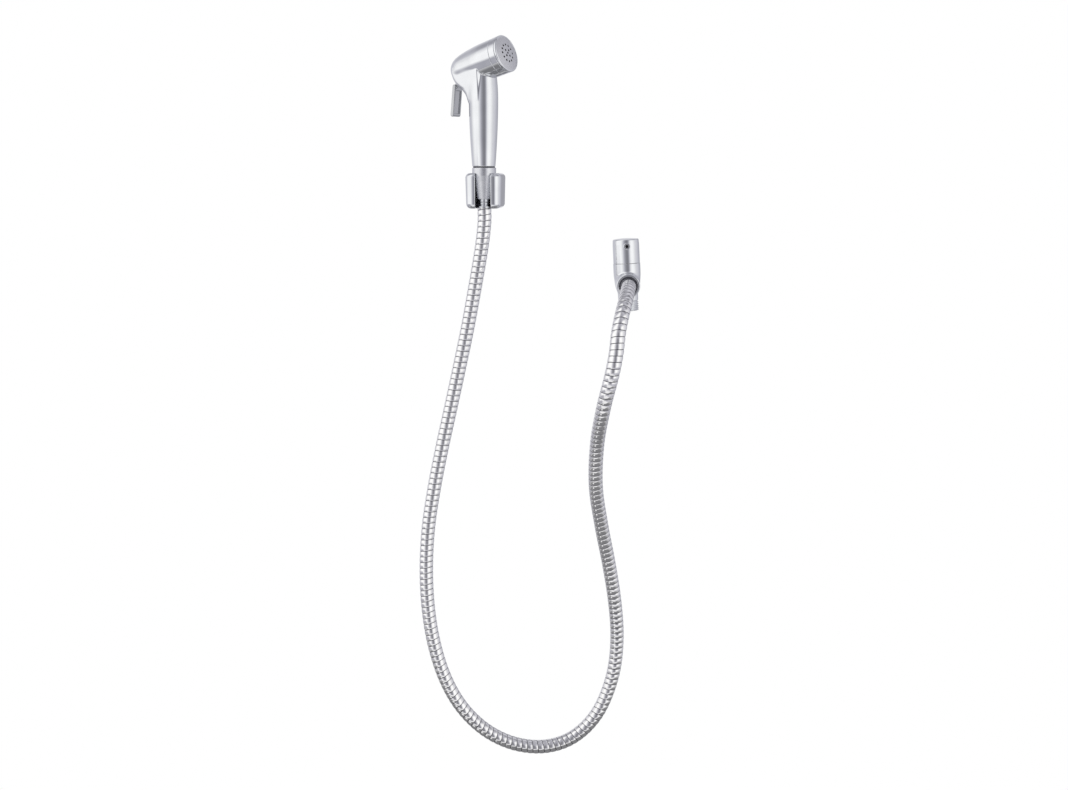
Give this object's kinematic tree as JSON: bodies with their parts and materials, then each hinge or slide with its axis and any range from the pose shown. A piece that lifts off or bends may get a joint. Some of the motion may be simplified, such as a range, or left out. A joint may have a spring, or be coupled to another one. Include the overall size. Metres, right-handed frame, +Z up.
{
  "type": "handheld bath sprayer",
  "caption": "Trigger hand sprayer with a round multi-jet face on a wall cradle, joined by a spiral metal hose to an angle stop valve.",
  "frame": {"origin": "on the wall plane behind the cradle, midway between its two screw holes", "axes": "+Z up along the handle, +Y into the wall, +X to the right towards the stop valve"},
  "size_m": [0.2295, 0.15, 0.7537],
  "materials": {
    "chrome_plated_plastic": "mirror bright chrome plating on moulded plastic",
    "chrome_plated_brass": "mirror bright chrome plating on brass",
    "spiral_steel": "bright stainless steel strip wound in a spiral",
    "spray_plate_steel": "fine satin grain",
    "stainless_steel": "plain drawn steel",
    "bare_brass": "machined brass",
    "pipe_plastic": "plain white plastic",
    "ceramic": "ground ceramic",
    "black_rubber": "smooth black rubber",
    "grey_rubber": "matte dark rubber"
  },
  "bodies": {
    "mounted": {"cradle": "chrome_plated_plastic", "hose": "spiral_steel", "lower_ferrule": "chrome_plated_brass", "outlet_nut": "chrome_plated_brass", "outlet_washer": "grey_rubber", "stop_valve_body": "chrome_plated_brass", "valve_bonnet": "bare_brass", "fixed_disc": "ceramic", "bonnet_oring": "black_rubber", "spindle_oring": "black_rubber"},
    "hose_end": {"upper_ferrule": "chrome_plated_brass"},
    "handset": {"cone_nut": "chrome_plated_plastic", "nut_washer": "grey_rubber", "seal_ring": "black_rubber", "inlet_connector": "bare_brass", "riser_tube": "pipe_plastic", "handset_body": "chrome_plated_plastic", "valve_cartridge": "bare_brass", "gland_nut": "bare_brass", "stem_oring": "black_rubber", "valve_spring": "stainless_steel", "trigger_pin": "stainless_steel", "collar_ring": "chrome_plated_plastic", "nozzle_cap": "chrome_plated_plastic", "plate_gasket": "grey_rubber", "spray_plate": "spray_plate_steel"},
    "trigger": {"trigger": "chrome_plated_plastic"},
    "stem": {"valve_stem": "stainless_steel", "stem_washer": "grey_rubber"},
    "knob": {"knob": "chrome_plated_brass", "knob_stub": "chrome_plated_brass", "spindle": "bare_brass", "turning_disc": "ceramic"}
  },
  "joints": [
    {"name": "handset_lift", "type": "slide", "parent": "mounted", "child": "hose_end", "axis": [0, 0, 1], "range_m": [0, 0.04]},
    {"name": "handset_swivel", "type": "hinge", "parent": "hose_end", "child": "handset", "pos_m": [0, -0.03, 0.02], "axis": [0, 0, 1], "continuous": true},
    {"name": "trigger_squeeze", "type": "hinge", "parent": "handset", "child": "trigger", "pos_m": [-0.02387, -0.01731, 0.11284], "axis": [-0.4695, -0.8829, 0], "range_deg": [0, 16], "stiffness_Nm_per_rad": 0.4, "springref_deg": -20.05},
    {"name": "stem_slide", "type": "slide", "parent": "handset", "child": "stem", "axis": [-0.8487, 0.4513, -0.2756], "range_m": [0, 0.0022], "deforming": ["valve_spring"]},
    {"name": "knob_turn", "type": "hinge", "parent": "mounted", "child": "knob", "pos_m": [0.1478, -0.035, -0.094], "axis": [-0.0523, 0, 0.9986], "range_deg": [0, 90]}
  ],
  "couplings": [
    {"joint": "stem_slide", "follows": "trigger_squeeze", "m_per_rad": 0.0076}
  ]
}
